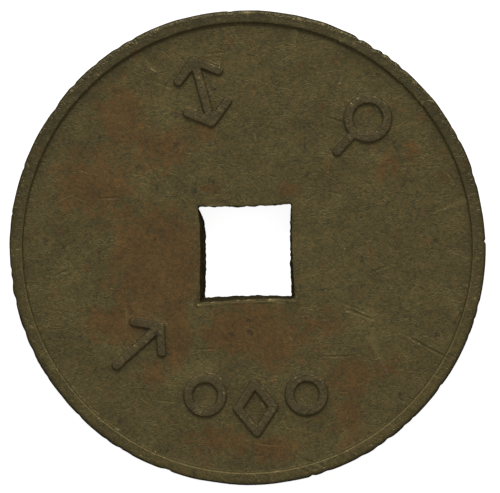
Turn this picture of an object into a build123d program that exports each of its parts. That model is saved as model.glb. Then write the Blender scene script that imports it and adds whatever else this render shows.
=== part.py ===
"""Struck brass transit token with a punched square hole.

The token is one blank of brass, struck in a collar: a raised rim round each face, a sunk
field inside it, and raised pictograms on both fields. A square hole is punched through it
from the obverse, so its walls lean in towards the reverse and its sides bow inwards.

Frame: the origin is the centre of the lower rim plane, +Z points out of the obverse and +Y
to the top of the design. Lengths are in millimetres and angles in degrees.
"""

import os
from math import atan2, cos, degrees, radians, sin

from build123d import *

# Blank
TOKEN_RADIUS = 14.0
RIM_THICKNESS = 2.0  # over both rims
FIELD_SINK = 0.22  # how far each field lies below its rim
RIM_WIDTH = 0.80  # flat land and inner flank together
RIM_FLANK = 0.08  # run of the sloping inner flank
EDGE_RADIUS = 0.20  # both outer corners of the rim
RIM_TOP_RADIUS = 0.05  # inner corner of the rim's land
RIM_FOOT_RADIUS = 0.05  # where the flank meets the field

# Raised marks
RELIEF = 0.18  # height over the field, just under the rim
STROKE_FOOT = 0.62  # width of a stroke at the field
STROKE_TOP = 0.44  # width of its flat top
STROKE_EMBED = 0.05  # how far a stroke starts below the field
STROKE_EASING = 0.05  # fillet along a stroke's top edges
BARB_REACH = 1.22  # how far an arrow's barb runs sideways
BARB_RUN = 0.95  # how far it runs back along the shaft
SIGN_RADIUS = 1.15  # middle line of the stop sign
SIGN_HEIGHT = 0.75  # its centre over the mark's own centre
POST_FOOT = -1.90
PIP_RADIUS = 1.00  # middle line of a plain ring
LOZENGE_REACH = 1.05  # half its width, along its middle line
LOZENGE_RISE = 1.45  # half its height

# Punched hole, as corners (x, y): top left, top right, bottom right, bottom left
HOLE_FACE = [(-2.92, 2.45), (2.62, 2.60), (2.84, -3.04), (-2.90, -3.32)]
HOLE_EXIT = [(-2.50, 2.42), (2.58, 2.58), (2.60, -2.84), (-2.44, -2.90)]
HOLE_BOW = 0.08  # how far the middle of each side stands into the hole
TORN_CORNER = [(-2.95, 2.43), (-2.20, 2.43), (-2.47, 1.50)]  # torn out by the punch, top left
PUNCH_OVERRUN = 0.5  # how far the cutting solids reach past the token

field_radius = TOKEN_RADIUS - RIM_WIDTH
land_inner_radius = field_radius + RIM_FLANK
obverse_field = RIM_THICKNESS - FIELD_SINK
stroke_slope = (STROKE_FOOT - STROKE_TOP) / RELIEF
embedded_foot = STROKE_FOOT + stroke_slope * STROKE_EMBED


def mark_plane(bearing, distance, turn):
    """The plane of a mark on the obverse field.

    bearing is the mark's place clockwise from +Y, distance is how far it lies from the
    token's axis, and turn is the way its own +Y points, clockwise from the token's +Y.
    """
    away, ahead = radians(bearing), radians(turn)
    place = (distance * sin(away), distance * cos(away), obverse_field)
    return Plane(origin=place, x_dir=(cos(ahead), -sin(ahead), 0), z_dir=(0, 0, 1))


def foot_and_top(plane):
    """The two sections of a stroke on this plane, as (plane, stroke width)."""
    return [(plane.offset(-STROKE_EMBED), embedded_foot), (plane.offset(RELIEF), STROKE_TOP)]


def raise_bar(plane, start, end):
    """Adds a straight stroke with round ends and sloping flanks."""
    run = Vector(*end) - Vector(*start)
    middle = (Vector(*start) + Vector(*end)) / 2
    heading = degrees(atan2(run.Y, run.X))
    sections = []
    for section_plane, width in foot_and_top(plane):
        with BuildSketch(section_plane) as section:
            with Locations(middle):
                SlotCenterToCenter(run.length, width, rotation=heading)
        sections.append(section.sketch)
    loft(sections)


def raise_ring(plane, centre, radius):
    """Adds a closed round stroke, where radius is that of its middle line."""
    sections = []
    for section_plane, width in foot_and_top(plane):
        with BuildSketch(section_plane) as section:
            with Locations(centre):
                Circle(radius + width / 2)
                Circle(radius - width / 2, mode=Mode.SUBTRACT)
        sections.append(section.sketch)
    loft(sections)


def raise_arrow(plane, half_length, heads):
    """An arrow along the plane's Y axis, with a head at its +Y end (1), its -Y end (-1) or both."""
    raise_bar(plane, (0, -half_length), (0, half_length))
    for head in heads:
        for side in (-1, 1):
            barb_end = (side * BARB_REACH, head * (half_length - BARB_RUN))
            raise_bar(plane, (0, head * half_length), barb_end)


def raise_stop_sign(plane):
    """A round stop sign on its post."""
    raise_ring(plane, (0, SIGN_HEIGHT), SIGN_RADIUS)
    raise_bar(plane, (0, SIGN_HEIGHT - SIGN_RADIUS), (0, POST_FOOT))


def raise_lozenge(plane):
    """A diamond outline, taller than it is wide."""
    corners = [(0, LOZENGE_RISE), (LOZENGE_REACH, 0), (0, -LOZENGE_RISE), (-LOZENGE_REACH, 0)]
    for start, end in zip(corners, corners[1:] + corners[:1]):
        raise_bar(plane, start, end)


def hole_outline(corners):
    """Draws a four-sided outline whose sides bow inwards."""
    for start, end in zip(corners, corners[1:] + corners[:1]):
        middle = (Vector(*start) + Vector(*end)) / 2
        ThreePointArc(start, middle - middle.normalized() * HOLE_BOW, end)


def scaled_past(corners, others, share):
    """The corners carried on by a share of the way from the others, past the face."""
    return [(x + share * (x - u), y + share * (y - v)) for (x, y), (u, v) in zip(corners, others)]


# The raised marks of one face, as solids that stand in the obverse field
with BuildPart() as marks:
    raise_arrow(mark_plane(bearing=-16, distance=9.55, turn=-16), half_length=1.90, heads=(-1, 1))
    raise_stop_sign(mark_plane(bearing=43, distance=9.65, turn=43))
    raise_arrow(mark_plane(bearing=228, distance=8.65, turn=48), half_length=1.72, heads=(1,))
    raise_ring(mark_plane(bearing=196, distance=9.05, turn=16), (0, 0), PIP_RADIUS)
    raise_lozenge(mark_plane(bearing=177, distance=9.45, turn=-3))
    raise_ring(mark_plane(bearing=158, distance=9.30, turn=-22), (0, 0), PIP_RADIUS)
    mark_tops = marks.faces().filter_by(Axis.Z).group_by(Axis.Z)[-1]
    fillet(mark_tops.edges(), radius=STROKE_EASING)


# The token
with BuildPart() as token:
    # Half of the section through the blank, from the axis out to the edge and back
    face_radii = [RIM_FOOT_RADIUS, RIM_TOP_RADIUS, EDGE_RADIUS]
    with BuildSketch(Plane.XZ):
        with BuildLine():
            rim_profile = FilletPolyline(
                (0, FIELD_SINK),
                (field_radius, FIELD_SINK),
                (land_inner_radius, 0),
                (TOKEN_RADIUS, 0),
                (TOKEN_RADIUS, RIM_THICKNESS),
                (land_inner_radius, RIM_THICKNESS),
                (field_radius, obverse_field),
                (0, obverse_field),
                radius=face_radii + face_radii[::-1],
            )
            Line(rim_profile @ 1, rim_profile @ 0)
        make_face()
    revolve(axis=Axis.Z)

    # Both faces carry the same marks, and the token turns over about its Y axis
    add(marks.part)
    turned_over = Location((0, 0, RIM_THICKNESS), (0, 180, 0))
    add(marks.part.moved(turned_over))

    # The punch goes in at the obverse and comes out smaller at the reverse
    overrun_share = PUNCH_OVERRUN / RIM_THICKNESS
    with BuildSketch(Plane.XY.offset(-PUNCH_OVERRUN)):
        with BuildLine():
            hole_outline(scaled_past(HOLE_EXIT, HOLE_FACE, overrun_share))
        make_face()
    with BuildSketch(Plane.XY.offset(RIM_THICKNESS + PUNCH_OVERRUN)):
        with BuildLine():
            hole_outline(scaled_past(HOLE_FACE, HOLE_EXIT, overrun_share))
        make_face()
    loft(mode=Mode.SUBTRACT)
    with BuildSketch(Plane.XY.offset(-PUNCH_OVERRUN)):
        with BuildLine():
            Polyline(*TORN_CORNER, close=True)
        make_face()
    extrude(amount=RIM_THICKNESS + 2 * PUNCH_OVERRUN, mode=Mode.SUBTRACT)

token.part.label = "struck_token"
os.makedirs("parts", exist_ok=True)
export_step(token.part, "parts/struck_token.step")
print("volume", round(token.part.volume, 1), "mm3, solids", len(token.part.solids()))
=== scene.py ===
"""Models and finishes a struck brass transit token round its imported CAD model.

The token is shaped on a workbench where one Blender unit is one millimetre, because the voxel
remesher works on nothing finer than a tenth of a millimetre, and is brought down to its real
size in metres once its form is finished. The frame's +Z points out of the obverse, and +Y to
the top of the design.
"""

import math
import random
from collections import namedtuple
from contextlib import contextmanager

import bmesh
import bpy
import numpy as np
from bpy.props import FloatProperty, FloatVectorProperty, IntProperty, PointerProperty
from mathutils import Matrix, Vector, noise


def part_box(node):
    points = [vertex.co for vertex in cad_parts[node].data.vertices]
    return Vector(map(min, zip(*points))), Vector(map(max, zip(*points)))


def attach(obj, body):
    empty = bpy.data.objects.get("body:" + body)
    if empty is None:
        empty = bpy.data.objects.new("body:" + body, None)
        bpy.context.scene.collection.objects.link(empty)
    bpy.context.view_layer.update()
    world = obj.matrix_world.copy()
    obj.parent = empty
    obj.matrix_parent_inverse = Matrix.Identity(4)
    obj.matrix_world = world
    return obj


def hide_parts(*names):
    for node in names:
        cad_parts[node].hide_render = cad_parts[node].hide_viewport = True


bl_info = {
    "name": "Struck Transit Token",
    "version": (1, 0, 0),
    "blender": (4, 5, 0),
    "location": "View3D > Sidebar > Token",
    "description": "Models a worn brass transit token with a punched square hole, and its studio",
    "category": "Add Mesh",
}

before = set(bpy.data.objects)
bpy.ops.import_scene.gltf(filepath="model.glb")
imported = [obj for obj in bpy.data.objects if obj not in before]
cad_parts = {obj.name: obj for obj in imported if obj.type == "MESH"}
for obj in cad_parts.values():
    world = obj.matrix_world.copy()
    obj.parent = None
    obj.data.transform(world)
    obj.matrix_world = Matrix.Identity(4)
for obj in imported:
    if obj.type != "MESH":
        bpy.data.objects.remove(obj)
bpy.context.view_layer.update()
token_low, token_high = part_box("struck_token")

BENCH = 1000  # workbench millimetres in a metre

# The marks of one face, in millimetres and degrees. A mark's place is its bearing clockwise from
# +Y and its distance from the token's axis, and its own +Y is turned clockwise from the token's.
DOUBLE_ARROW = {"bearing": -16, "distance": 9.55, "turn": -16, "half_length": 1.90, "heads": (-1, 1)}
STOP_SIGN = {"bearing": 43, "distance": 9.65, "turn": 43}
ARROW = {"bearing": 228, "distance": 8.65, "turn": 48, "half_length": 1.72, "heads": (1,)}
LEFT_PIP = {"bearing": 196, "distance": 9.05, "turn": 16}
LOZENGE = {"bearing": 177, "distance": 9.45, "turn": -3}
RIGHT_PIP = {"bearing": 158, "distance": 9.30, "turn": -22}
BARB_REACH = 1.22  # how far an arrow's barb runs sideways
BARB_RUN = 0.95  # how far it runs back along the shaft
SIGN_RADIUS = 1.15
SIGN_HEIGHT = 0.75
POST_FOOT = -1.90
PIP_RADIUS = 1.00
LOZENGE_REACH = 1.05
LOZENGE_RISE = 1.45

# The punched hole's corners: top left, top right, bottom right, bottom left
HOLE_FACE = np.array([(-2.92, 2.45), (2.62, 2.60), (2.84, -3.04), (-2.90, -3.32)])
HOLE_EXIT = np.array([(-2.50, 2.42), (2.58, 2.58), (2.60, -2.84), (-2.44, -2.90)])
TEAR_START, TEAR_REACH = 0.83, 0.17  # where the left side is torn out, as shares of its height

# The wear that stands out on the obverse: start, end, width and depth of each groove
OBVERSE_GROOVES = [
    ((9.10, -5.05), (11.95, -6.60), 0.055, 0.045),
    ((5.75, -3.60), (7.60, -4.32), 0.060, 0.035),
    ((5.95, -3.38), (7.20, -3.90), 0.045, 0.025),
    ((4.25, -6.42), (6.10, -6.40), 0.050, 0.030),
    ((7.25, -1.48), (8.45, -1.03), 0.055, 0.035),
    ((11.75, 4.50), (12.35, 3.68), 0.060, 0.030),
    ((-11.35, -1.66), (-10.50, -1.32), 0.060, 0.035),
    ((-8.85, 2.88), (-7.55, 2.94), 0.050, 0.030),
    ((4.55, 7.75), (5.80, 7.30), 0.055, 0.040),
    ((3.35, -12.50), (4.70, -12.95), 0.070, 0.045),
    ((1.25, 4.27), (1.70, 4.12), 0.060, 0.035),
    ((-2.95, -6.02), (-1.95, -5.95), 0.050, 0.028),
]

# Russet patches of the obverse: x, y, half width and half height in millimetres, and strength
RUSSET_PATCHES = [
    (-7.6, 7.9, 2.2, 2.8, 1.0),
    (-4.9, 5.8, 2.4, 1.9, 0.9),
    (-9.0, 3.7, 3.2, 2.7, 1.0),
    (-5.4, -0.8, 3.6, 4.2, 1.4),
    (-7.9, -4.6, 2.5, 1.5, 1.2),
    (-4.2, -5.3, 1.2, 2.4, 1.1),
    (0.1, -4.9, 3.9, 2.2, 1.2),
    (1.7, -6.3, 1.4, 1.6, 0.8),
    (4.4, -4.5, 1.9, 1.7, 0.7),
    (6.2, -7.5, 2.2, 1.4, 0.9),
    (6.0, -10.0, 1.3, 2.6, 0.8),
    (-2.0, -11.4, 2.2, 1.2, 0.9),
    (1.2, -11.8, 2.8, 1.0, 0.9),
    (-5.5, -7.4, 1.4, 1.3, 0.7),
    (8.4, -7.2, 0.8, 0.8, 0.9),
    (-2.5, 6.8, 0.9, 0.8, 0.9),
    (9.7, 5.7, 0.8, 0.8, 1.0),
    (8.5, 5.0, 0.8, 0.7, 0.9),
    (7.8, 4.2, 0.7, 0.6, 0.9),
    (2.6, 3.4, 0.9, 0.7, 0.9),
    (-2.0, 3.5, 0.8, 0.6, 0.8),
    (5.0, 10.9, 0.6, 0.6, 0.8),
]

# Patches of the obverse where the tarnish is rubbed lighter, in the same form
RUBBED_PATCHES = [
    (6.8, -4.8, 2.2, 1.8, 1.0),
    (4.9, -1.6, 2.6, 3.4, 0.6),
    (-4.7, 8.0, 1.9, 1.6, 0.8),
    (-6.5, 4.3, 1.2, 2.0, 0.8),
    (-10.7, -1.4, 1.8, 2.8, 0.7),
    (-3.3, -7.3, 2.2, 1.5, 0.8),
    (10.2, -3.0, 1.6, 3.0, 0.5),
]

# Directions of the fine hairlines in degrees, with the length and width of their waves in millimetres
HAIRLINES = [(8, 1.3, 0.50), (67, 0.9, 0.40), (128, 1.1, 0.45)]
HAIRLINE_STEP = 0.07  # share of a wave's height from one hairline to the next

# Layers of short scratches: spacing, length and half width in millimetres, and strength. The finest
# are drawn a little wider than real ones, so that they show.
SCRATCH_LAYERS = [
    (2.9, 1.9, 0.050, 0.9),
    (1.5, 1.0, 0.045, 0.8),
    (0.8, 0.6, 0.040, 0.7),
    (0.5, 0.4, 0.035, 0.6),
]


def bench(length):
    """A length in metres as millimetres on the workbench."""
    return length * BENCH


def linear(hex_colour):
    """A linear colour from an sRGB hex value such as "#8c7446"."""
    channels = [int(hex_colour[i : i + 2], 16) / 255 for i in (1, 3, 5)]
    return tuple(c / 12.92 if c <= 0.04045 else ((c + 0.055) / 1.055) ** 2.4 for c in channels)


def length_property(name, description, default):
    """A length among the settings, in metres."""
    return FloatProperty(name=name, description=description, default=default, unit="LENGTH", precision=5)


def colour_property(name, description, hex_colour):
    """A colour among the settings, from its sRGB hex value."""
    return FloatVectorProperty(
        name=name, description=description, subtype="COLOR", default=linear(hex_colour)
    )


class TokenForm(bpy.types.PropertyGroup):
    """Sizes of the token and of what is struck on it."""

    diameter: length_property("Diameter", "Across the token's edge", token_high.x - token_low.x)
    thickness: length_property("Thickness", "Over both rims", token_high.z - token_low.z)
    rim_width: length_property("Rim width", "Flat land and inner flank together", 0.00080)
    rim_flank: length_property("Rim flank", "Run of the rim's sloping inner flank", 0.00008)
    field_sink: length_property("Field sink", "How far each field lies below its rim", 0.00022)
    edge_radius: length_property("Edge radius", "Rounding of the rim's outer corners", 0.00020)
    relief: length_property("Relief", "Height of the raised marks over the field", 0.00018)
    stroke_foot: length_property("Stroke foot", "Width of a raised stroke where it meets the field", 0.00062)
    stroke_top: length_property("Stroke top", "Width of a raised stroke's flat top", 0.00044)
    hole_bow: length_property("Hole bow", "How far the middle of each side of the hole stands in", 0.00008)
    grain: length_property("Grain", "Size of the voxels on which the wear is carved", 0.00004)
    scratches: IntProperty(
        name="Scratches",
        description="Carved handling scratches on each face",
        default=150,
        min=0,
    )
    triangles: IntProperty(
        name="Triangles",
        description="Triangles left in the finished mesh",
        default=190000,
        min=1000,
    )


class TarnishColours(bpy.types.PropertyGroup):
    """Colours of the brass and its tarnish."""

    olive: colour_property("Olive tarnish", "The even, greenish brown tarnish", "#5f5731")
    russet: colour_property("Russet tarnish", "Redder patches where the zinc has gone", "#684e27")
    # Grime also paints the shade in the corners, on steep walls and round the rim
    grime: colour_property("Grime", "Dark dirt in the corners and pits", "#22241a")
    handled: colour_property("Handled tops", "The duller brown of the tops of the marks", "#574c2f")
    # Bare brass also paints a highlight along the rim's inner corner at the bottom of the design
    bare: colour_property("Bare brass", "Brass that handling keeps bright", "#8c7c4e")


class StudioSettings(bpy.types.PropertyGroup):
    """The floor, the lights and the camera."""

    floor_colour: colour_property("Floor colour", "The plain, pale floor", "#c8c8c8")
    floor_glow: FloatProperty(
        name="Floor glow",
        description="How brightly the floor is lit from below, like a copying table",
        default=0.88,
    )
    dome_strength: FloatProperty(
        name="Dome strength",
        description="Brightness of the even light from above",
        default=0.34,
    )
    key_power: FloatProperty(
        name="Key power",
        description="Power of the soft light beyond the top of the token",
        default=7.9,
        unit="POWER",
    )
    frame_width: length_property("Frame width", "Width of the view at the token's upper face", 0.02943)
    lens: FloatProperty(
        name="Lens",
        description="Focal length, long enough to look straight down on the whole token",
        default=300,
        unit="CAMERA",
    )


@contextmanager
def edit_mode(element):
    """Edit mode on the active piece, with nothing selected, for its VERTs, EDGEs or FACEs."""
    bpy.ops.object.mode_set(mode="EDIT")
    bpy.ops.mesh.select_mode(type=element)
    bpy.ops.mesh.select_all(action="DESELECT")
    yield bpy.context.active_object.data
    bpy.ops.object.mode_set(mode="OBJECT")


def pick(mesh, elements, wanted):
    """Selects the "verts", "edges" or "faces" of the edited mesh for which wanted is true."""
    shape = bmesh.from_edit_mesh(mesh)
    for element in getattr(shape, elements):
        if wanted(element):
            element.select_set(True)
    shape.select_flush_mode()
    bmesh.update_edit_mesh(mesh)


def on_circle(radius):
    """A test for edges that run round the token's axis at this radius."""
    tolerance = 0.002

    def test(edge):
        first, second = (vertex.co for vertex in edge.verts)
        near = all(abs(co.xy.length - radius) < tolerance for co in (first, second))
        return near and abs(first.z - second.z) < tolerance

    return test


def select_only(*chosen):
    """Selects these pieces alone, and makes the first active."""
    bpy.ops.object.select_all(action="DESELECT")
    for piece in chosen:
        piece.select_set(True)
    bpy.context.view_layer.objects.active = chosen[0]


def copy_of(pattern):
    """A copy of a piece with its own mesh, selected and active."""
    select_only(pattern)
    bpy.ops.object.duplicate()
    return bpy.context.active_object


def apply_modifier(piece, kind, **settings):
    """Adds a modifier with these settings and applies it."""
    select_only(piece)
    modifier = piece.modifiers.new(kind.title(), kind)
    for name, value in settings.items():
        setattr(modifier, name, value)
    bpy.ops.object.modifier_apply(modifier=modifier.name)


def read_points(piece, layer="co"):
    """The piece's vertex places, or another vector of each vertex, as an array."""
    vertices = piece.data.vertices
    points = np.empty(len(vertices) * 3)
    vertices.foreach_get(layer, points)
    return points.reshape(-1, 3)


def write_points(piece, points):
    """Puts the piece's vertices at these places."""
    piece.data.vertices.foreach_set("co", points.ravel())
    piece.data.update()


def turn_blank(form):
    """The blank: a disc whose two fields are sunk inside an upset rim."""
    rounding = 3  # segments of each rounded corner
    radius, height = bench(form.diameter) / 2, bench(form.thickness)
    land = bench(form.rim_width - form.rim_flank)
    bpy.ops.mesh.primitive_cylinder_add(
        vertices=360, radius=radius, depth=height, location=(0, 0, height / 2)
    )
    bpy.ops.object.transform_apply()
    blank = bpy.context.active_object
    with edit_mode("FACE") as mesh:
        pick(mesh, "faces", lambda face: abs(face.normal.z) > 0.5)
        bpy.ops.mesh.inset(thickness=land)
        bpy.ops.mesh.inset(thickness=bench(form.rim_flank), depth=-bench(form.field_sink))
    corners = [
        (radius, bench(form.edge_radius)),
        (radius - land, bench(form.edge_radius) / 5),
        (radius - bench(form.rim_width), bench(form.edge_radius) / 8),
    ]
    for circle, offset in corners:
        with edit_mode("EDGE") as mesh:
            pick(mesh, "edges", on_circle(circle))
            bpy.ops.mesh.bevel(offset=offset, segments=rounding)
    return blank


def bow_hole_outline(sides, form, depth_share):
    """Places across the hole, for each (x, y) from -1 to 1 and each share from exit to face."""
    across, up = (sides[:, 0] + 1) / 2, (sides[:, 1] + 1) / 2
    weights = np.stack([(1 - across) * up, across * up, across * (1 - up), (1 - across) * (1 - up)], 1)
    face, leaving = weights @ HOLE_FACE, weights @ HOLE_EXIT
    torn = np.clip((up - TEAR_START) / TEAR_REACH, 0, 1) * (1 - across) * 1.05
    share = np.stack([depth_share + (1 - depth_share) * torn, depth_share], 1)
    bowed = sides * bench(form.hole_bow) * (1 - sides[:, ::-1] ** 2)
    return leaving + (face - leaving) * share - bowed


def punch_hole(blank, form):
    """Punches the square hole, whose walls lean in towards the reverse."""
    overrun = 0.5
    height = bench(form.thickness)
    bpy.ops.mesh.primitive_cube_add(size=2)
    punch = bpy.context.active_object
    with edit_mode("FACE"):
        bpy.ops.mesh.select_all(action="SELECT")
        bpy.ops.mesh.subdivide(number_cuts=35)
    points = read_points(punch)
    heights = height / 2 + points[:, 2] * (height / 2 + overrun)
    points[:, :2] = bow_hole_outline(points[:, :2], form, heights / height)
    points[:, 2] = heights
    write_points(punch, points)
    apply_modifier(blank, "BOOLEAN", operation="DIFFERENCE", solver="EXACT", object=punch)
    bpy.data.objects.remove(punch)


def stroke_section(form):
    """A stroke's width at its embedded foot, at its top, and its lowest and highest level."""
    embed = 0.05
    field = bench(form.thickness - form.field_sink)
    slope = (form.stroke_foot - form.stroke_top) / form.relief
    return (
        bench(form.stroke_foot) + slope * embed,
        bench(form.stroke_top),
        field - embed,
        field + bench(form.relief),
    )


def make_bar_pattern(form):
    """A stroke of no length: a round stud with a sloping flank, standing in the obverse field."""
    sides = 24
    foot, top, low, high = stroke_section(form)
    bpy.ops.mesh.primitive_cone_add(
        vertices=sides,
        radius1=foot / 2,
        radius2=top / 2,
        depth=high - low,
        location=(0, 0, (low + high) / 2),
        rotation=(0, 0, math.pi / sides),
    )
    bpy.ops.object.transform_apply()
    return bpy.context.active_object


def make_ring_pattern(form):
    """A closed round stroke of the pips' size, standing in the obverse field."""
    foot, top, low, high = stroke_section(form)
    loops = [
        (PIP_RADIUS + foot / 2, low),
        (PIP_RADIUS + top / 2, high),
        (PIP_RADIUS - top / 2, high),
        (PIP_RADIUS - foot / 2, low),
    ]
    (radius, level), *others = loops
    bpy.ops.mesh.primitive_circle_add(vertices=72, radius=radius, location=(0, 0, level))
    bpy.ops.object.transform_apply()
    with edit_mode("EDGE"):
        bpy.ops.mesh.select_all(action="SELECT")
        for next_radius, next_level in others:
            bpy.ops.mesh.extrude_region()
            scale = next_radius / radius
            bpy.ops.transform.resize(value=(scale, scale, 1))
            bpy.ops.transform.translate(value=(0, 0, next_level - level))
            radius, level = next_radius, next_level
        bpy.ops.mesh.select_all(action="DESELECT")
        bpy.ops.mesh.select_non_manifold()
        bpy.ops.mesh.bridge_edge_loops()
        bpy.ops.mesh.select_all(action="SELECT")
        bpy.ops.mesh.normals_make_consistent(inside=False)
    return bpy.context.active_object


def placed(mark, point):
    """A point of a mark's own plane, in the token's frame."""
    away, turn = math.radians(mark["bearing"]), math.radians(mark["turn"])
    x, y = point
    centre = Vector((math.sin(away), math.cos(away), 0)) * mark["distance"]
    rightwards = Vector((math.cos(turn), -math.sin(turn), 0))
    upwards = Vector((math.sin(turn), math.cos(turn), 0))
    return centre + rightwards * x + upwards * y


def raise_bar(pattern, mark, start, end):
    """Copies the bar pattern and draws its far half out, so that it runs from start to end."""
    first, last = placed(mark, start), placed(mark, end)
    run = last - first
    bar = copy_of(pattern)
    with edit_mode("VERT") as mesh:
        pick(mesh, "verts", lambda vertex: vertex.co.x > 0)
        bpy.ops.transform.translate(value=(run.length, 0, 0))
    bar.rotation_euler.z = math.atan2(run.y, run.x)
    bar.location = first
    bpy.ops.object.transform_apply()
    return bar


def raise_ring(pattern, mark, centre, radius):
    """Copies the ring pattern, and moves its inner and outer halves out to this radius."""
    ring = copy_of(pattern)
    points = read_points(ring)
    reach = np.hypot(points[:, 0], points[:, 1])[:, None]
    points[:, :2] *= (reach + radius - PIP_RADIUS) / reach
    write_points(ring, points)
    ring.location = placed(mark, centre)
    bpy.ops.object.transform_apply()
    return ring


def raise_marks(form):
    """Raises the marks of both faces as separate strokes, and returns them."""
    bar, ring = make_bar_pattern(form), make_ring_pattern(form)
    strokes = []
    for arrow in (DOUBLE_ARROW, ARROW):
        half = arrow["half_length"]
        strokes.append(raise_bar(bar, arrow, (0, -half), (0, half)))
        for head in arrow["heads"]:
            for side in (-1, 1):
                barb_end = (side * BARB_REACH, head * (half - BARB_RUN))
                strokes.append(raise_bar(bar, arrow, (0, head * half), barb_end))
    strokes.append(raise_ring(ring, STOP_SIGN, (0, SIGN_HEIGHT), SIGN_RADIUS))
    strokes.append(raise_bar(bar, STOP_SIGN, (0, SIGN_HEIGHT - SIGN_RADIUS), (0, POST_FOOT)))
    for pip in (LEFT_PIP, RIGHT_PIP):
        strokes.append(raise_ring(ring, pip, (0, 0), PIP_RADIUS))
    corners = [(0, LOZENGE_RISE), (LOZENGE_REACH, 0), (0, -LOZENGE_RISE), (-LOZENGE_REACH, 0)]
    for start, end in zip(corners, corners[1:] + corners[:1]):
        strokes.append(raise_bar(bar, LOZENGE, start, end))
    for pattern in (bar, ring):
        bpy.data.objects.remove(pattern)
    select_only(*strokes)
    bpy.ops.object.duplicate()
    middle = (0, 0, bench(form.thickness) / 2)
    bpy.ops.transform.rotate(value=math.pi, orient_axis="Y", center_override=middle)
    turned_over = list(bpy.context.selected_objects)
    bpy.ops.object.transform_apply()
    return strokes + turned_over


def soft_noise(points, size, seed):
    """Smooth random values from about -1 to 1 at these points, with features of this size."""
    shift = Vector((seed * 17.3, seed * 5.1, seed * 9.7))
    return np.array([noise.noise(Vector(point) + shift) for point in points / np.array(size)])


def ease(values, low, high):
    """A smooth step from 0 at low to 1 at high."""
    share = np.clip((values - low) / (high - low), 0, 1)
    return share * share * (3 - 2 * share)


def wander_edge(points, form, chance):
    """Knocks the outline slightly out of round, with a few small nicks."""
    nicks, deepest, furthest_out = 46, 0.12, 0.05
    radius = bench(form.diameter) / 2
    reach = np.hypot(points[:, 0], points[:, 1])
    bearing = np.arctan2(points[:, 1], points[:, 0])
    pull = np.zeros(len(points))
    for waves in range(2, 60):
        share = 0.05 / waves
        pull += share * np.cos(waves * bearing + chance.uniform(0, math.tau))
    for _ in range(nicks):
        place, width = chance.uniform(-math.pi, math.pi), chance.uniform(0.006, 0.022)
        apart = (bearing - place + math.pi) % math.tau - math.pi
        pull -= chance.uniform(0.02, 0.07) * np.exp(-((apart / width) ** 2))
    outer = ease(reach, radius - bench(form.rim_width) * 0.7, radius)
    pull = np.clip(pull - pull.mean() + 0.012, -deepest, furthest_out)
    scale = 1 + pull * outer / np.maximum(reach, 1)
    points[:, :2] *= scale[:, None]


def roughen_strokes(points, normals, form):
    """Gives the struck flanks and tops the slight unevenness of a worn die."""
    field = bench(form.thickness - form.field_sink)
    sink = bench(form.field_sink)
    above = np.maximum(points[:, 2] - field, sink - points[:, 2])
    raised = np.flatnonzero(above > 0.01)
    rough = 0.012 * soft_noise(points[raised], 0.28, 3) + 0.010 * soft_noise(points[raised], 0.11, 4)
    points[raised] += normals[raised] * rough[:, None]


def hole_outline(form, depth_share):
    """Points round the hole at this share of the way from its exit to its face."""
    steps = np.linspace(-1, 1, 12)[:-1]
    ones = np.ones_like(steps)
    sides = np.concatenate([
        np.stack([steps, ones], 1),
        np.stack([ones, -steps], 1),
        np.stack([-steps, -ones], 1),
        np.stack([-ones, steps], 1),
    ])
    return bow_hole_outline(sides, form, np.full(len(sides), depth_share))


def distance_to_line(points, start, end):
    """How far each (x, y) lies from a straight line, and where along it from 0 to 1."""
    start, run = np.array(start), np.array(end) - np.array(start)
    along = np.clip((points - start) @ run / (run @ run), 0, 1)
    return np.hypot(*(points - start - along[:, None] * run).T), along


def distance_to_outline(points, outline):
    """How far each (x, y) lies from the nearest stretch of a closed outline."""
    stretches = zip(outline, np.roll(outline, -1, axis=0))
    return np.min([distance_to_line(points, start, end)[0] for start, end in stretches], axis=0)


def tear_hole(points, normals, form):
    """Roughens the hole's walls and edges, and raises the burrs that the punch left."""
    near = np.flatnonzero((np.abs(points[:, 0]) < 3.6) & (np.abs(points[:, 1]) < 4.0))
    spots = points[near]
    height = bench(form.thickness)
    sideways = np.hypot(normals[near, 0], normals[near, 1])
    streaks = 0.045 * soft_noise(spots, (0.30, 0.30, 2.5), 5)
    chips = 0.030 * soft_noise(spots, 0.16, 6) * ease(height - spots[:, 2], 0, height)
    points[near, :2] += normals[near, :2] * ((streaks + chips) * ease(sideways, 0.1, 0.6))[:, None]
    for depth_share, level in ((1, 1), (0, -1)):
        on_face = near[(spots[:, 2] - height / 2) * level > height / 2 - 1.3 * bench(form.field_sink)]
        away = distance_to_outline(points[on_face, :2], hole_outline(form, depth_share))
        uneven = 0.7 + 0.9 * soft_noise(points[on_face], 0.5, 7)
        if level > 0:
            uneven *= 0.2 + 0.8 * ease(-points[on_face, 1], 2.2, 3.0)
        lip = 0.045 * np.exp(-(((away - 0.13) / 0.07) ** 2))
        break_edge = 0.07 * np.exp(-((away / 0.06) ** 2))
        points[on_face, 2] += level * np.clip(uneven, 0, 1.3) * (lip - break_edge)


def carve_groove(points, level, groove):
    """Ploughs a groove with raised lips into the obverse (level 1) or reverse (level -1)."""
    start, end, width, depth = groove
    reach = width * 4
    low = np.minimum(start, end) - reach
    high = np.maximum(start, end) + reach
    inside = np.all((points[:, :2] > low) & (points[:, :2] < high), axis=1)
    near = np.flatnonzero(inside & ((points[:, 2] - 1) * level > 0.5))
    away, along = distance_to_line(points[near, :2], start, end)
    taper = np.sin(math.pi * np.clip(along, 0.02, 0.98)) ** 0.5
    cut = np.exp(-((away / width) ** 2)) - 0.35 * np.exp(-(((away - 2 * width) / width) ** 2))
    points[near, 2] -= level * depth * taper * cut


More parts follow.
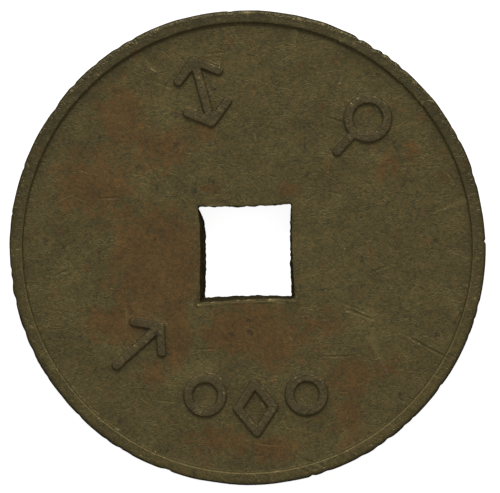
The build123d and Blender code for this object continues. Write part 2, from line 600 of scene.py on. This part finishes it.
def scratch_faces(points, form, chance):
    """Carves the marked grooves of the obverse, and random handling scratches on both faces."""
    for groove in OBVERSE_GROOVES:
        carve_groove(points, 1, groove)
    radius = bench(form.diameter) / 2
    for level in (1, -1):
        for _ in range(form.scratches):
            away, around = radius * math.sqrt(chance.random()), chance.uniform(0, math.tau)
            heading, half = chance.uniform(0, math.pi), chance.choice((0.12, 0.2, 0.3, 0.4, 0.7))
            middle = np.array((away * math.cos(around), away * math.sin(around)))
            reach = half * np.array((math.cos(heading), math.sin(heading)))
            width = chance.uniform(0.035, 0.06)
            depth = width * chance.uniform(0.15, 0.5)
            carve_groove(points, level, (middle - reach, middle + reach, width, depth))


def wear_token(token, form):
    """Carves all the wear into the remeshed token."""
    chance = random.Random(28)
    points, normals = read_points(token), read_points(token, "normal")
    roughen_strokes(points, normals, form)
    wander_edge(points, form, chance)
    tear_hole(points, normals, form)
    scratch_faces(points, form, chance)
    write_points(token, points)


def thin_mesh(token, form):
    """Thins the mesh where it is flat, down to the finished number of triangles."""
    faces = sum(len(polygon.vertices) - 2 for polygon in token.data.polygons)
    if faces > form.triangles:
        apply_modifier(token, "DECIMATE", ratio=form.triangles / faces)
    select_only(token)
    bpy.ops.object.shade_smooth()


# Sockets that say where a point of the token lies, with lengths in the workbench's millimetres
Places = namedtuple(
    "Places", "spot flat scratched obverse level reach upright upwards downwards near_hole near_edge edge_low"
)


def add_node(tree, kind, inputs=None, **settings):
    """Adds a node with these settings, and links or sets its inputs by name or number."""
    node = tree.nodes.new(kind)
    for name, value in settings.items():
        setattr(node, name, value)
    for socket, source in (inputs or {}).items():
        if isinstance(source, bpy.types.NodeSocket):
            tree.links.new(source, node.inputs[socket])
        else:
            node.inputs[socket].default_value = source
    return node


def add_patches(tree, drift, patches):
    """Adds up soft oval patches, each strongest in its middle."""
    total = 0.0
    for x, y, across, up, strength in patches:
        local = add_node(
            tree,
            "ShaderNodeMapping",
            {"Vector": drift, "Location": (x, y, 0), "Scale": (across, up, 1)},
            vector_type="TEXTURE",
        )
        patch = add_node(
            tree, "ShaderNodeTexGradient", {"Vector": local.outputs[0]}, gradient_type="SPHERICAL"
        )
        total = add_node(
            tree,
            "ShaderNodeMath",
            {0: patch.outputs["Fac"], 1: strength, 2: total},
            operation="MULTIPLY_ADD",
        ).outputs[0]
    return total


def add_tarnish_patches(tree, places):
    """Where the tarnish has turned russet, and where it is rubbed lighter, each from 0 to 1.

    The obverse has its own large patches, and the reverse has loose ones.
    """
    ragged = add_node(
        tree, "ShaderNodeTexNoise", {"Vector": places.spot, "Scale": 1.3, "Detail": 7.0, "Roughness": 0.78}
    )
    wander = add_node(
        tree, "ShaderNodeVectorMath", {0: ragged.outputs["Color"], 1: (0.5, 0.5, 0.5)}, operation="SUBTRACT"
    )
    drift = add_node(
        tree,
        "ShaderNodeVectorMath",
        {0: wander.outputs[0], 1: (3.0, 3.0, 0.0), 2: places.flat},
        operation="MULTIPLY_ADD",
    )
    loose = add_node(
        tree, "ShaderNodeTexNoise", {"Vector": places.spot, "Scale": 0.28, "Detail": 2.0, "Roughness": 0.6}
    )
    fringe = add_node(tree, "ShaderNodeMath", {0: ragged.outputs["Fac"], 1: 0.5}, operation="SUBTRACT")
    found = []
    for patches, patch_low, patch_high in ((RUSSET_PATCHES, 0.50, 0.66), (RUBBED_PATCHES, 0.50, 0.34)):
        loose_patch = add_node(
            tree,
            "ShaderNodeMapRange",
            {"Value": loose.outputs["Fac"], "From Min": patch_low, "From Max": patch_high},
        )
        marked = add_patches(tree, drift.outputs[0], patches)
        large = add_node(
            tree, "ShaderNodeMix", {"Factor": places.obverse, "A": loose_patch.outputs[0], "B": marked}
        )
        mottled = add_node(
            tree,
            "ShaderNodeMath",
            {0: fringe.outputs[0], 1: 2.6, 2: large.outputs[0]},
            operation="MULTIPLY_ADD",
        )
        found.append(add_node(
            tree,
            "ShaderNodeMapRange",
            {"Value": mottled.outputs[0], "From Min": 0.15, "From Max": 0.60},
            interpolation_type="SMOOTHSTEP",
        ).outputs[0])
    return found


def add_hairlines(tree, place):
    """A dense felt of faint, slightly wavy hairlines: below 0 dark, above 0 bright."""
    total = 0.0
    for heading, length, width in HAIRLINES:
        local = add_node(
            tree,
            "ShaderNodeMapping",
            {"Vector": place, "Rotation": (0, 0, math.radians(heading)), "Scale": (length, width, 1)},
            vector_type="TEXTURE",
        )
        wave = add_node(
            tree,
            "ShaderNodeTexNoise",
            {"Vector": local.outputs[0], "Scale": 1.0, "Detail": 2.0, "Roughness": 0.6, "Distortion": 0.4},
        )
        waves = add_node(tree, "ShaderNodeSeparateColor", {"Color": wave.outputs["Color"]})
        ripple = add_node(
            tree, "ShaderNodeMath", {0: waves.outputs[0], 1: HAIRLINE_STEP}, operation="PINGPONG"
        )
        line = add_node(
            tree,
            "ShaderNodeMapRange",
            {"Value": ripple.outputs[0], "From Max": HAIRLINE_STEP, "To Min": -1.0, "To Max": 1.0},
        )
        tone = add_node(
            tree, "ShaderNodeMapRange", {"Value": waves.outputs[1], "From Min": 0.4, "From Max": 0.65}
        )
        total = add_node(
            tree,
            "ShaderNodeMath",
            {0: line.outputs[0], 1: tone.outputs[0], 2: total},
            operation="MULTIPLY_ADD",
        ).outputs[0]
    return total


def add_spots(tree, place, ragged, spacing, share, radius):
    """Small ragged spots, one to a cell in this share of the cells: 1 in their middle."""
    cells = add_node(
        tree, "ShaderNodeTexVoronoi", {"Vector": place, "Scale": 1 / spacing}, voronoi_dimensions="2D"
    )
    lots = add_node(tree, "ShaderNodeSeparateColor", {"Color": cells.outputs["Color"]})
    size = add_node(
        tree,
        "ShaderNodeMapRange",
        {"Value": lots.outputs[0], "From Min": 1 - share, "To Min": -0.2, "To Max": radius / spacing},
    )
    outline = add_node(
        tree, "ShaderNodeMath", {0: ragged, 1: -0.5, 2: size.outputs[0]}, operation="MULTIPLY_ADD"
    )
    inside = add_node(
        tree, "ShaderNodeMath", {0: outline.outputs[0], 1: cells.outputs["Distance"]}, operation="SUBTRACT"
    )
    return add_node(
        tree,
        "ShaderNodeMapRange",
        {"Value": inside.outputs[0], "From Min": -0.30, "From Max": -0.15},
        interpolation_type="SMOOTHSTEP",
    ).outputs[0]


def add_scratches(tree, flat, spacing, length, width):
    """Short, slightly bowed scratches in random directions, one to a cell: below 0 dark, above 0 bright."""
    cells = add_node(
        tree, "ShaderNodeTexVoronoi", {"Vector": flat, "Scale": 1 / spacing}, voronoi_dimensions="2D"
    )
    local = add_node(
        tree, "ShaderNodeVectorMath", {0: flat, 1: cells.outputs["Position"]}, operation="SUBTRACT"
    )
    lots = add_node(tree, "ShaderNodeSeparateColor", {"Color": cells.outputs["Color"]})
    heading = add_node(tree, "ShaderNodeMath", {0: lots.outputs[0], 1: math.tau}, operation="MULTIPLY")
    turned = add_node(
        tree,
        "ShaderNodeVectorRotate",
        {"Vector": local.outputs[0], "Angle": heading.outputs[0]},
        rotation_type="Z_AXIS",
    )
    parts = add_node(tree, "ShaderNodeSeparateXYZ", {0: turned.outputs[0]})
    bend = add_node(
        tree, "ShaderNodeMath", {0: parts.outputs["X"], 1: parts.outputs["X"]}, operation="MULTIPLY"
    )
    bow = add_node(
        tree,
        "ShaderNodeMapRange",
        {"Value": lots.outputs[2], "To Min": -0.35 / length, "To Max": 0.35 / length},
    )
    aside = add_node(
        tree,
        "ShaderNodeMath",
        {0: bend.outputs[0], 1: bow.outputs[0], 2: parts.outputs["Y"]},
        operation="MULTIPLY_ADD",
    )
    away = add_node(tree, "ShaderNodeMath", {0: aside.outputs[0]}, operation="ABSOLUTE")
    along = add_node(tree, "ShaderNodeMath", {0: parts.outputs["X"]}, operation="ABSOLUTE")
    scratch = add_node(
        tree, "ShaderNodeMapRange", {"Value": lots.outputs[1], "To Min": -1.0, "To Max": 1.0}
    ).outputs[0]
    for distance, full, gone in ((away, 0.0, width), (along, length * 0.2, length / 2)):
        fading = add_node(
            tree,
            "ShaderNodeMapRange",
            {"Value": distance.outputs[0], "From Min": full, "From Max": gone, "To Min": 1.0, "To Max": 0.0},
        )
        scratch = add_node(
            tree, "ShaderNodeMath", {0: scratch, 1: fading.outputs[0]}, operation="MULTIPLY"
        ).outputs[0]
    return scratch


def add_places(tree, form):
    """The sockets that say where a point lies."""
    edge, middle = bench(form.diameter) / 2, bench(form.thickness) / 2
    place = add_node(tree, "ShaderNodeTexCoord")
    spot_mm = add_node(
        tree, "ShaderNodeVectorMath", {0: place.outputs["Object"], "Scale": float(BENCH)}, operation="SCALE"
    ).outputs[0]
    # Height counts twelvefold in spot, so that the two faces and the tops of the marks differ
    spot, flat = (
        add_node(
            tree, "ShaderNodeVectorMath", {0: spot_mm, 1: (1.0, 1.0, height)}, operation="MULTIPLY"
        ).outputs[0]
        for height in (12.0, 0.0)
    )
    parts = add_node(tree, "ShaderNodeSeparateXYZ", {0: spot_mm})
    height = parts.outputs["Z"]
    obverse = add_node(tree, "ShaderNodeMath", {0: height, 1: middle}, operation="GREATER_THAN").outputs[0]
    from_middle = add_node(tree, "ShaderNodeMath", {0: height, 1: middle}, operation="SUBTRACT")
    level = add_node(tree, "ShaderNodeMath", {0: from_middle.outputs[0]}, operation="ABSOLUTE").outputs[0]
    # The obverse's scratches are taken from far to one side of the reverse's
    face_shift = add_node(tree, "ShaderNodeCombineXYZ", {"X": obverse})
    scratched = add_node(
        tree,
        "ShaderNodeVectorMath",
        {0: face_shift.outputs[0], 1: (57.0, 0.0, 0.0), 2: flat},
        operation="MULTIPLY_ADD",
    ).outputs[0]
    reach = add_node(tree, "ShaderNodeVectorMath", {0: flat}, operation="LENGTH").outputs["Value"]
    facing = add_node(tree, "ShaderNodeSeparateXYZ", {0: place.outputs["Normal"]})
    upright = add_node(tree, "ShaderNodeMath", {0: facing.outputs["Z"]}, operation="ABSOLUTE").outputs[0]
    upwards = add_node(
        tree, "ShaderNodeMapRange", {"Value": parts.outputs["Y"], "From Min": -10.0, "From Max": 8.0}
    ).outputs[0]
    downwards = add_node(tree, "ShaderNodeMath", {0: 1.0, 1: upwards}, operation="SUBTRACT").outputs[0]
    near_hole = add_node(tree, "ShaderNodeMath", {0: reach, 1: 5.0}, operation="LESS_THAN").outputs[0]
    near_edge = add_node(
        tree, "ShaderNodeMath", {0: reach, 1: edge - 0.3}, operation="GREATER_THAN"
    ).outputs[0]
    # The outer edge at the bottom of the design, turned from the light at the top: it gets painted shade and
    # less bare brass
    edge_low = add_node(
        tree, "ShaderNodeMath", {0: near_edge, 1: downwards}, operation="MULTIPLY"
    ).outputs[0]
    ways = (upright, upwards, downwards)
    return Places(spot, flat, scratched, obverse, level, reach, *ways, near_hole, near_edge, edge_low)


def add_base_colour(tree, places, colours, form, redder):
    """Olive tarnish, redder by the sum of these (value, share) pairs, with duller tops to the marks."""
    reddened = 0.0
    for value, share in redder:
        reddened = add_node(
            tree, "ShaderNodeMath", {0: value, 1: share, 2: reddened}, operation="MULTIPLY_ADD"
        ).outputs[0]
    russet_share = add_node(
        tree, "ShaderNodeMapRange", {"Value": reddened, "From Min": 1.15, "From Max": 2.55}
    )
    field_level = bench(form.thickness) / 2 - bench(form.field_sink)
    on_top = add_node(
        tree,
        "ShaderNodeMapRange",
        {
            "Value": places.level,
            "From Min": field_level + bench(form.relief) * 0.5,
            "From Max": field_level + bench(form.relief) * 0.8,
            "To Max": 0.8,
        },
    )
    inside_rim = add_node(
        tree,
        "ShaderNodeMath",
        {0: places.reach, 1: bench(form.diameter / 2 - form.rim_width) - 0.2},
        operation="LESS_THAN",
    )
    dulled = add_node(
        tree, "ShaderNodeMath", {0: on_top.outputs[0], 1: inside_rim.outputs[0]}, operation="MULTIPLY"
    )
    base = (*colours.olive, 1)
    for share, colour in ((russet_share, colours.russet), (dulled, colours.handled)):
        base = add_node(
            tree,
            "ShaderNodeMix",
            {"Factor": share.outputs[0], "A": base, "B": (*colour, 1)},
            data_type="RGBA",
        ).outputs["Result"]
    return base


def add_tone(tree, rubbed, cloud, grain, hairlines):
    """How much lighter or darker than its colour the tarnish is, by cloud, grain and hairlines."""
    tone = 1.0
    for source, darkest, lightest, extra, most in (
        (grain, 0.55, 1.45, hairlines, 0.13),
        (cloud, 0.72, 1.28, rubbed, 0.16),
    ):
        spread = add_node(
            tree,
            "ShaderNodeMapRange",
            {"Value": source, "From Min": 0.25, "From Max": 0.75, "To Min": darkest, "To Max": lightest},
        )
        lit = add_node(
            tree, "ShaderNodeMath", {0: extra, 1: most, 2: spread.outputs[0]}, operation="MULTIPLY_ADD"
        )
        tone = add_node(tree, "ShaderNodeMath", {0: lit.outputs[0], 1: tone}, operation="MULTIPLY").outputs[0]
    return tone


def add_dirt_and_shade(tree, places, form, blush):
    """Grime and painted shade at the feet of the rim and the marks, in the hole and round the edge, with
    painted shade round the rim towards the top of the design and on the outer corner at the bottom.
    """
    edge, field_radius = bench(form.diameter) / 2, bench(form.diameter / 2 - form.rim_width)
    # Ambient occlusion darkens the feet of the rim and the marks: partly grime, partly painted shade in these
    # corners
    corner = add_node(tree, "ShaderNodeAmbientOcclusion", {"Distance": 0.0006}, samples=8, only_local=True)
    corner_grime_and_shade = add_node(
        tree,
        "ShaderNodeMapRange",
        {"Value": corner.outputs["AO"], "From Min": 0.98, "From Max": 0.6, "To Max": 0.42},
    )
    near_rim = add_node(
        tree,
        "ShaderNodeMapRange",
        {"Value": places.reach, "From Min": field_radius - 0.5, "From Max": field_radius - 0.3},
    )
    # Near the rim this painted corner shade is cut back to 0.4
    corner_share_by_rim = add_node(tree, "ShaderNodeMix", {"Factor": near_rim.outputs[0], "A": 1.0, "B": 0.4})
    # Steep walls of the hole and of the outer edge are darkened: partly grime, partly painted shade on walls
    # that little light reaches
    wall_grime_and_shade = 0.0
    for wall, flattest, steepest, most in (
        (places.near_hole, 0.60, 0.25, 0.5),
        (places.near_edge, 0.45, 0.20, 0.75),
    ):
        steep = add_node(
            tree,
            "ShaderNodeMapRange",
            {"Value": places.upright, "From Min": flattest, "From Max": steepest, "To Max": most},
            interpolation_type="SMOOTHSTEP",
        )
        wall_grime_and_shade = add_node(
            tree, "ShaderNodeMath", {0: wall, 1: steep.outputs[0], 2: wall_grime_and_shade}, operation="MULTIPLY_ADD"
        ).outputs[0]
    # Painted shade round the rim, broken up by noise: it darkens the rim and the field just inside it towards
    # the top of the design, where the rim shades the field from the light at the top, and darkens the outer
    # corner at the bottom, which is turned from that light
    ring_place = add_node(
        tree, "ShaderNodeMath", {0: blush, 1: 1.4, 2: places.reach}, operation="MULTIPLY_ADD"
    )
    rim_top_shade = add_node(
        tree,
        "ShaderNodeMapRange",
        {
            "Value": ring_place.outputs[0],
            "From Min": field_radius,
            "From Max": field_radius + 0.9,
            "To Max": 0.34,
        },
    )
    # Painted shade on the outer corner, applied at the bottom of the design
    lower_edge_shade = add_node(
        tree,
        "ShaderNodeMapRange",
        {"Value": places.reach, "From Min": edge - 0.2, "From Max": edge - 0.06, "To Max": 0.65},
    )
    # The strongest of the grime and the painted shade at each point
    dirt_and_shade = wall_grime_and_shade
    for kind, where in (
        (corner_grime_and_shade, corner_share_by_rim.outputs[0]),
        (rim_top_shade, places.upwards),
        (lower_edge_shade, places.edge_low),
    ):
        there = add_node(tree, "ShaderNodeMath", {0: kind.outputs[0], 1: where}, operation="MULTIPLY")
        dirt_and_shade = add_node(
            tree, "ShaderNodeMath", {0: there.outputs[0], 1: dirt_and_shade}, operation="MAXIMUM"
        ).outputs[0]
    return dirt_and_shade


def add_wear_and_highlight(tree, places, form):
    """The sharp edges that handling polishes, how much bare brass shows on them, and a painted highlight
    along the rim's inner corner at the bottom of the design.
    """
    surface = add_node(tree, "ShaderNodeNewGeometry")
    crest = add_node(
        tree,
        "ShaderNodeMapRange",
        {"Value": surface.outputs["Pointiness"], "From Min": 0.53, "From Max": 0.62},
    ).outputs[0]
    # More bare brass shows on the crests near the hole and the edge; less on the outer corner at the bottom,
    # which is painted shade on the side turned from the light
    crest_share = 0.45
    for where, extra in ((places.near_hole, 0.40), (places.near_edge, 0.25), (places.edge_low, -0.65)):
        crest_share = add_node(
            tree, "ShaderNodeMath", {0: where, 1: extra, 2: crest_share}, operation="MULTIPLY_ADD"
        ).outputs[0]
    crest_wear = add_node(tree, "ShaderNodeMath", {0: crest, 1: crest_share}, operation="MULTIPLY")
    # A painted highlight: the inner corner of the rim's land is made bright round the bottom of the design,
    # where its flank faces the light from the top
    land_corner = bench(form.diameter / 2 - form.rim_width + form.rim_flank) + 0.02
    from_corner = add_node(tree, "ShaderNodeMath", {0: places.reach, 1: land_corner}, operation="SUBTRACT")
    off_corner = add_node(tree, "ShaderNodeMath", {0: from_corner.outputs[0]}, operation="ABSOLUTE")
    corner_highlight_line = add_node(
        tree,
        "ShaderNodeMapRange",
        {"Value": off_corner.outputs[0], "From Min": 0.05, "From Max": 0.0, "To Max": 0.8},
    )
    corner_highlight = add_node(
        tree, "ShaderNodeMath", {0: corner_highlight_line.outputs[0], 1: places.downwards}, operation="MULTIPLY"
    )
    wear = add_node(
        tree, "ShaderNodeMath", {0: crest_wear.outputs[0], 1: corner_highlight.outputs[0]}, operation="MAXIMUM"
    )
    polished = add_node(tree, "ShaderNodeMath", {0: places.near_edge, 1: crest}, operation="MAXIMUM")
    return polished.outputs[0], wear.outputs[0]


def make_tarnished_brass(colours, form):
    """Struck brass after years of handling: a dull olive-brown oxide over the metal, russet where
    zinc has gone, grime and painted shade in the corners, in the hole and round the rim, a painted
    highlight along the rim's inner corner at the bottom, and fine scratches in every direction that
    show brighter or darker than the tarnish. It is rough enough to have no clear reflection."""
    material = bpy.data.materials.new("tarnished_struck_brass")
    material.use_nodes = True
    tree = material.node_tree
    tree.nodes.clear()
    places = add_places(tree, form)
    blush, grain, cloud = (
        add_node(
            tree,
            "ShaderNodeTexNoise",
            {"Vector": places.spot, "Scale": scale, "Detail": detail, "Roughness": roughness},
        ).outputs["Fac"]
        for scale, detail, roughness in ((2.4, 4.0, 0.7), (5.5, 3.0, 0.8), (0.6, 6.0, 0.72))
    )
    russet, rubbed = add_tarnish_patches(tree, places)
    flecks = add_spots(tree, places.scratched, blush, 1.4, 0.5, 0.35)
    base = add_base_colour(
        tree, places, colours, form, [(russet, 1.0), (blush, 1.3), (grain, 1.5), (flecks, 0.6)]
    )

    # A felt of hairlines, which is faint on the russet
    felt = add_node(tree, "ShaderNodeMapRange", {"Value": russet, "To Min": 1.0, "To Max": 0.35})
    hairlines = add_node(
        tree,
        "ShaderNodeMath",
        {0: add_hairlines(tree, places.scratched), 1: felt.outputs[0]},
        operation="MULTIPLY",
    ).outputs[0]
    tone = add_tone(tree, rubbed, cloud, grain, hairlines)
    toned = add_node(tree, "ShaderNodeVectorMath", {0: base, "Scale": tone}, operation="SCALE")

    scratches = 0.0
    for spacing, length, width, share in SCRATCH_LAYERS:
        layer = add_scratches(tree, places.scratched, spacing, length, width)
        scratches = add_node(
            tree, "ShaderNodeMath", {0: layer, 1: share, 2: scratches}, operation="MULTIPLY_ADD"
        ).outputs[0]
    bright, dark = (
        add_node(
            tree,
            "ShaderNodeMapRange",
            {"Value": scratches, "From Min": 0.0, "From Max": full, "To Max": most},
        ).outputs[0]
        for full, most in ((1.0, 0.35), (-1.0, 0.45))
    )
    pits = add_spots(tree, places.scratched, grain, 1.1, 0.30, 0.22)
    pit = add_node(tree, "ShaderNodeMath", {0: pits, 1: 0.45}, operation="MULTIPLY").outputs[0]

    # Grime and painted shade, with pits and dark scratches added
    dirt_and_shade = add_dirt_and_shade(tree, places, form, blush)
    for kind in (pit, dark):
        dirt_and_shade = add_node(tree, "ShaderNodeMath", {0: kind, 1: dirt_and_shade}, operation="MAXIMUM").outputs[0]
    # The wear mask holds the bare brass of worn crests and a painted highlight along the rim's inner corner
    # at the bottom
    polished, wear = add_wear_and_highlight(tree, places, form)
    worn = add_node(tree, "ShaderNodeMath", {0: bright, 1: wear}, operation="MAXIMUM").outputs[0]
    # Grime paints dirt and shade alike, and bare brass paints wear and the highlight alike
    colour = toned.outputs[0]
    for share, other in ((dirt_and_shade, colours.grime), (worn, colours.bare)):
        colour = add_node(
            tree, "ShaderNodeMix", {"Factor": share, "A": colour, "B": (*other, 1)}, data_type="RGBA"
        ).outputs["Result"]

    depth = grain
    for lines, share in ((scratches, -0.8), (hairlines, 0.4)):
        depth = add_node(
            tree, "ShaderNodeMath", {0: lines, 1: share, 2: depth}, operation="MULTIPLY_ADD"
        ).outputs[0]
    bump = add_node(tree, "ShaderNodeBump", {"Height": depth, "Strength": 1.0, "Distance": 0.00002})
    dullness = add_node(
        tree,
        "ShaderNodeMapRange",
        {"Value": cloud, "From Min": 0.25, "From Max": 0.75, "To Min": 0.66, "To Max": 0.54},
    )
    roughness = add_node(tree, "ShaderNodeMix", {"Factor": polished, "A": dullness.outputs[0], "B": 0.32})
    shader = add_node(
        tree,
        "ShaderNodeBsdfPrincipled",
        {
            "Base Color": colour,
            "Metallic": 0.5,
            "Roughness": roughness.outputs["Result"],
            "Normal": bump.outputs[0],
        },
    )
    add_node(tree, "ShaderNodeOutputMaterial", {"Surface": shader.outputs[0]})
    return material


class TOKEN_OT_strike(bpy.types.Operator):
    """Model the struck and worn token, and give it its tarnish"""

    bl_idname = "transit_token.strike"
    bl_label = "Strike Token"

    def execute(self, context):
        form = context.scene.token_form
        bpy.ops.object.select_all(action="DESELECT")
        blank = turn_blank(form)
        punch_hole(blank, form)
        select_only(blank, *raise_marks(form))
        bpy.ops.object.join()
        token = bpy.context.active_object
        coarser = 1
        apply_modifier(token, "REMESH", mode="VOXEL", voxel_size=bench(form.grain) * coarser)
        apply_modifier(token, "SMOOTH", factor=0.5, iterations=1)
        wear_token(token, form)
        thin_mesh(token, form)
        token.name = token.data.name = "token"
        token.scale = (1 / BENCH,) * 3
        bpy.ops.object.transform_apply()
        token.data.materials.clear()
        token.data.materials.append(make_tarnished_brass(context.scene.tarnish_colours, form))
        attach(token, "root")
        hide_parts("struck_token")
        return {"FINISHED"}


class TOKEN_OT_set_stage(bpy.types.Operator):
    """Lay the pale floor, and place the lights and the camera"""

    bl_idname = "transit_token.set_stage"
    bl_label = "Set Stage"

    def execute(self, context):
        studio = context.scene.token_studio
        lay_floor(studio)
        place_lights(context.scene, studio)
        place_camera(context.scene, studio)
        return {"FINISHED"}


def lay_floor(studio):
    """A plain pale floor, lit a little from below like a copying table."""
    bpy.ops.object.select_all(action="DESELECT")
    gap = 0.00002  # below the token's dented rim
    bpy.ops.mesh.primitive_circle_add(
        vertices=96, radius=1.5, fill_type="NGON", location=(0, 0, token_low.z - gap)
    )
    bpy.ops.object.transform_apply()
    floor = bpy.context.active_object
    floor.name = floor.data.name = "floor"
    material = bpy.data.materials.new("white_copying_table")
    material.use_nodes = True
    shader = material.node_tree.nodes["Principled BSDF"]
    shader.inputs["Base Color"].default_value = (*studio.floor_colour, 1)
    shader.inputs["Roughness"].default_value = 0.8
    shader.inputs["Emission Color"].default_value = (1, 1, 1, 1)
    shader.inputs["Emission Strength"].default_value = studio.floor_glow
    floor.data.materials.append(material)
    floor.visible_diffuse = floor.visible_glossy = False  # keeps its glare off the token's edge


def place_lights(scene, studio):
    """A soft key light from beyond the top of the token, and a dim dome over it."""
    world = bpy.data.worlds.new("dome")
    world.use_nodes = True
    tree = world.node_tree
    direction = add_node(tree, "ShaderNodeTexCoord")
    height = add_node(tree, "ShaderNodeSeparateXYZ", {0: direction.outputs["Generated"]})
    above = add_node(tree, "ShaderNodeMath", {0: height.outputs["Z"], 1: 0.0}, operation="GREATER_THAN")
    background = tree.nodes["Background"]
    tree.links.new(above.outputs[0], background.inputs["Color"])
    background.inputs["Strength"].default_value = studio.dome_strength
    scene.world = world
    bpy.ops.object.light_add(type="AREA", location=(0, 0.90, 0.78))
    key = bpy.context.active_object
    key.name = key.data.name = "key_light"
    key.data.energy = studio.key_power
    key.data.shape = "RECTANGLE"
    key.data.size, key.data.size_y = 0.90, 0.30
    key.rotation_euler = (-key.location).to_track_quat("-Z", "Y").to_euler()


def place_camera(scene, studio):
    """A long lens straight above the token, with the top of the design up."""
    aside, ahead = 0.000153, 0.000065  # how far the view's middle lies from the token's axis
    sensor = 36
    distance = studio.frame_width * studio.lens / sensor
    bpy.ops.object.camera_add(location=(aside, ahead, token_high.z + distance), rotation=(0, 0, 0))
    camera = bpy.context.active_object
    camera.name = camera.data.name = "camera"
    camera.data.lens = studio.lens
    camera.data.sensor_width = sensor
    camera.data.clip_start = distance / 100
    camera.data.clip_end = distance * 20
    scene.camera = camera
    scene.view_settings.view_transform = "Standard"


class TOKEN_PT_panel(bpy.types.Panel):
    """The token's operators and settings in the sidebar"""

    bl_idname = "TOKEN_PT_panel"
    bl_label = "Transit Token"
    bl_space_type = "VIEW_3D"
    bl_region_type = "UI"
    bl_category = "Token"

    def draw(self, context):
        layout = self.layout
        for group in (context.scene.token_form, context.scene.tarnish_colours, context.scene.token_studio):
            box = layout.box()
            for name in group.__annotations__:
                box.prop(group, name)
        layout.operator(TOKEN_OT_strike.bl_idname)
        layout.operator(TOKEN_OT_set_stage.bl_idname)


CLASSES = (TokenForm, TarnishColours, StudioSettings, TOKEN_OT_strike, TOKEN_OT_set_stage, TOKEN_PT_panel)


def register():
    for cls in CLASSES:
        bpy.utils.register_class(cls)
    bpy.types.Scene.token_form = PointerProperty(type=TokenForm)
    bpy.types.Scene.tarnish_colours = PointerProperty(type=TarnishColours)
    bpy.types.Scene.token_studio = PointerProperty(type=StudioSettings)


def unregister():
    del bpy.types.Scene.token_form
    del bpy.types.Scene.tarnish_colours
    del bpy.types.Scene.token_studio
    for cls in reversed(CLASSES):
        bpy.utils.unregister_class(cls)


def main():
    """Builds the token and its studio."""
    register()
    bpy.ops.transit_token.strike()
    bpy.ops.transit_token.set_stage()


if __name__ == "__main__":
    main()
